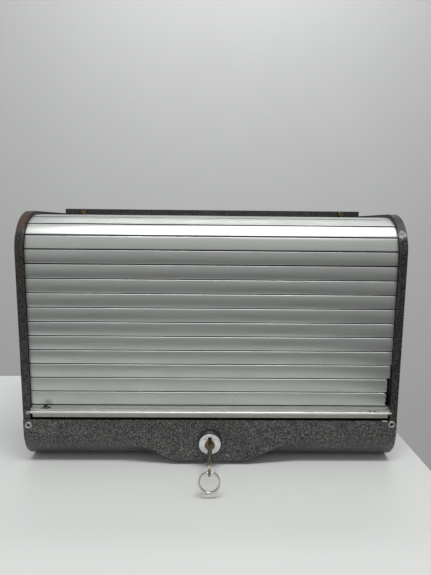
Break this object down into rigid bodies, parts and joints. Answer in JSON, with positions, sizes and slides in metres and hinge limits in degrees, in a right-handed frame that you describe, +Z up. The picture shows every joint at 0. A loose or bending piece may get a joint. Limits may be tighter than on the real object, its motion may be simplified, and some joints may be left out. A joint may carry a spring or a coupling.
{
  "type": "bread box with roll top",
  "caption": "sheet-metal bread box whose slatted roll front slides up over the top and down inside the back, with a key lock in the front skirt",
  "frame": {"origin": "middle of the underside of the floor, on the surface the box stands on", "axes": "+Z up, the front faces -Y, +X to the right as seen from the front, along the width"},
  "size_m": [0.42, 0.2497, 0.2919],
  "materials": {
    "hammertone": "hammertone paint",
    "skirt_paint": "worn hammertone paint",
    "slat": "satin rolled",
    "rail": "satin extruded",
    "bead": "bright",
    "screw": "tarnished",
    "steel": "plain",
    "dark_steel": "blackened",
    "collar": "black",
    "chrome": "polished",
    "brass": "turned",
    "key_metal": "nickel worn to brass",
    "ring_wire": "drawn wire"
  },
  "bodies": {
    "case": {"left_side_panel": "hammertone", "right_side_panel": "hammertone", "base_pan": "skirt_paint", "back_panel": "hammertone", "back_screws": "screw", "back_nuts": "steel", "skirt_rivets": "steel", "lock_collar": "collar", "lock_body": "chrome", "lock_nut": "steel", "right_guide": "steel", "left_guide": "steel", "rear_tie_bar": "steel"},
    "rail": {"bottom_rail": "rail", "rail_bead": "bead", "bead_end_rivet": "steel", "rail_rivets": "dark_steel", "rail_catch": "steel"},
    "plug": {"lock_plug": "brass", "lock_cam": "steel", "cam_screw": "steel"},
    "key": {"key": "key_metal"},
    "ring": {"split_ring": "ring_wire"},
    "roll_01": {"slat_01": "slat"},
    "roll_02": {"slat_02": "slat"},
    "roll_03": {"slat_03": "slat"},
    "roll_04": {"slat_04": "slat"},
    "roll_05_08": {"slat_05": "slat", "slat_06": "slat", "slat_07": "slat", "slat_08": "slat"},
    "roll_09": {"slat_09": "slat"},
    "roll_10": {"slat_10": "slat"},
    "roll_11": {"slat_11": "slat"},
    "roll_12": {"slat_12": "slat"},
    "roll_13": {"slat_13": "slat"},
    "roll_14": {"slat_14": "slat"},
    "roll_15": {"slat_15": "slat"},
    "roll_16_19": {"slat_16": "slat", "slat_17": "slat", "slat_18": "slat", "slat_19": "slat"},
    "roll_20": {"slat_20": "slat"},
    "roll_21": {"slat_21": "slat"},
    "roll_22": {"slat_22": "slat"},
    "roll_23": {"slat_23": "slat"}
  },
  "joints": [
    {"name": "roll_slide", "type": "slide", "parent": "case", "child": "rail", "axis": [0, 0, 1], "range_m": [0, 0.17435]},
    {"name": "roll_01_turn", "type": "hinge", "parent": "case", "child": "roll_01", "pos_m": [0, 0.53699, 0.15576], "axis": [-1, 0, 0], "range_deg": [0, 15.97]},
    {"name": "roll_02_turn", "type": "hinge", "parent": "case", "child": "roll_02", "pos_m": [0, 0.16818, 0.16532], "axis": [-1, 0, 0], "range_deg": [0, 38.26]},
    {"name": "roll_03_turn", "type": "hinge", "parent": "case", "child": "roll_03", "pos_m": [0, 0.06855, 0.1737], "axis": [-1, 0, 0], "range_deg": [0, 60.55]},
    {"name": "roll_04_turn", "type": "hinge", "parent": "case", "child": "roll_04", "pos_m": [0, 0.02211, 0.18175], "axis": [-1, 0, 0], "range_deg": [0, 82.48]},
    {"name": "roll_05_08_turn", "type": "hinge", "parent": "case", "child": "roll_05_08", "pos_m": [0, 0.01167, 0.18483], "axis": [-1, 0, 0], "range_deg": [0, 90]},
    {"name": "roll_09_turn", "type": "hinge", "parent": "case", "child": "roll_09", "pos_m": [0, 0.01003, 0.18689], "axis": [-1, 0, 0], "range_deg": [0, 92.25]},
    {"name": "roll_10_turn", "type": "hinge", "parent": "case", "child": "roll_10", "pos_m": [0, -0.00194, 0.20836], "axis": [-1, 0, 0], "range_deg": [0, 117]},
    {"name": "roll_11_turn", "type": "hinge", "parent": "case", "child": "roll_11", "pos_m": [0, -0.00917, 0.23014], "axis": [-1, 0, 0], "range_deg": [0, 147.11]},
    {"name": "roll_12_turn", "type": "hinge", "parent": "case", "child": "roll_12", "pos_m": [0, -0.01009, 0.2383], "axis": [-1, 0, 0], "range_deg": [0, 159.26]},
    {"name": "roll_13_turn", "type": "hinge", "parent": "case", "child": "roll_13", "pos_m": [0, -0.01129, 0.22663], "axis": [-1, 0, 0], "range_deg": [0, 141.74]},
    {"name": "roll_14_turn", "type": "hinge", "parent": "case", "child": "roll_14", "pos_m": [0, -0.01639, 0.21091], "axis": [-1, 0, 0], "range_deg": [0, 119.45]},
    {"name": "roll_15_turn", "type": "hinge", "parent": "case", "child": "roll_15", "pos_m": [0, -0.02614, 0.19351], "axis": [-1, 0, 0], "range_deg": [0, 97.52]},
    {"name": "roll_16_19_turn", "type": "hinge", "parent": "case", "child": "roll_16_19", "pos_m": [0, -0.03136, 0.18714], "axis": [-1, 0, 0], "range_deg": [0, 90]},
    {"name": "roll_20_turn", "type": "hinge", "parent": "case", "child": "roll_20", "pos_m": [0, -0.03432, 0.18635], "axis": [-1, 0, 0], "range_deg": [0, 87.75]},
    {"name": "roll_21_turn", "type": "hinge", "parent": "case", "child": "roll_21", "pos_m": [0, -0.08261, 0.17927], "axis": [-1, 0, 0], "range_deg": [0, 63]},
    {"name": "roll_22_turn", "type": "hinge", "parent": "case", "child": "roll_22", "pos_m": [0, -0.23847, 0.17038], "axis": [-1, 0, 0], "range_deg": [0, 32.36]},
    {"name": "roll_23_turn", "type": "hinge", "parent": "case", "child": "roll_23", "pos_m": [0, -2.0305, 0.15682], "axis": [-1, 0, 0], "range_deg": [0, 4.77]},
    {"name": "key_turn", "type": "hinge", "parent": "case", "child": "plug", "pos_m": [-0.0012, -0.09, 0.029], "axis": [0, 1, 0], "range_deg": [0, 90]},
    {"name": "key_slide", "type": "slide", "parent": "plug", "child": "key", "axis": [0, -1, 0], "range_m": [0, 0.03]},
    {"name": "ring_swing", "type": "hinge", "parent": "key", "child": "ring", "pos_m": [-0.0012, -0.1515, 0.0274], "axis": [1, 0, 0], "range_deg": [-62, 70]}
  ],
  "couplings": [
    {"joint": "roll_01_turn", "follows": "roll_slide", "rad_per_m": 1.5988},
    {"joint": "roll_02_turn", "follows": "roll_slide", "rad_per_m": 3.8301},
    {"joint": "roll_03_turn", "follows": "roll_slide", "rad_per_m": 6.0615},
    {"joint": "roll_04_turn", "follows": "roll_slide", "rad_per_m": 8.2566},
    {"joint": "roll_05_08_turn", "follows": "roll_slide", "rad_per_m": 9.0094},
    {"joint": "roll_09_turn", "follows": "roll_slide", "rad_per_m": 9.2344},
    {"joint": "roll_10_turn", "follows": "roll_slide", "rad_per_m": 11.712},
    {"joint": "roll_11_turn", "follows": "roll_slide", "rad_per_m": 14.726},
    {"joint": "roll_12_turn", "follows": "roll_slide", "rad_per_m": 15.943},
    {"joint": "roll_13_turn", "follows": "roll_slide", "rad_per_m": 14.189},
    {"joint": "roll_14_turn", "follows": "roll_slide", "rad_per_m": 11.957},
    {"joint": "roll_15_turn", "follows": "roll_slide", "rad_per_m": 9.7623},
    {"joint": "roll_16_19_turn", "follows": "roll_slide", "rad_per_m": 9.0094},
    {"joint": "roll_20_turn", "follows": "roll_slide", "rad_per_m": 8.7845},
    {"joint": "roll_21_turn", "follows": "roll_slide", "rad_per_m": 6.3065},
    {"joint": "roll_22_turn", "follows": "roll_slide", "rad_per_m": 3.2398},
    {"joint": "roll_23_turn", "follows": "roll_slide", "rad_per_m": 0.47751}
  ]
}
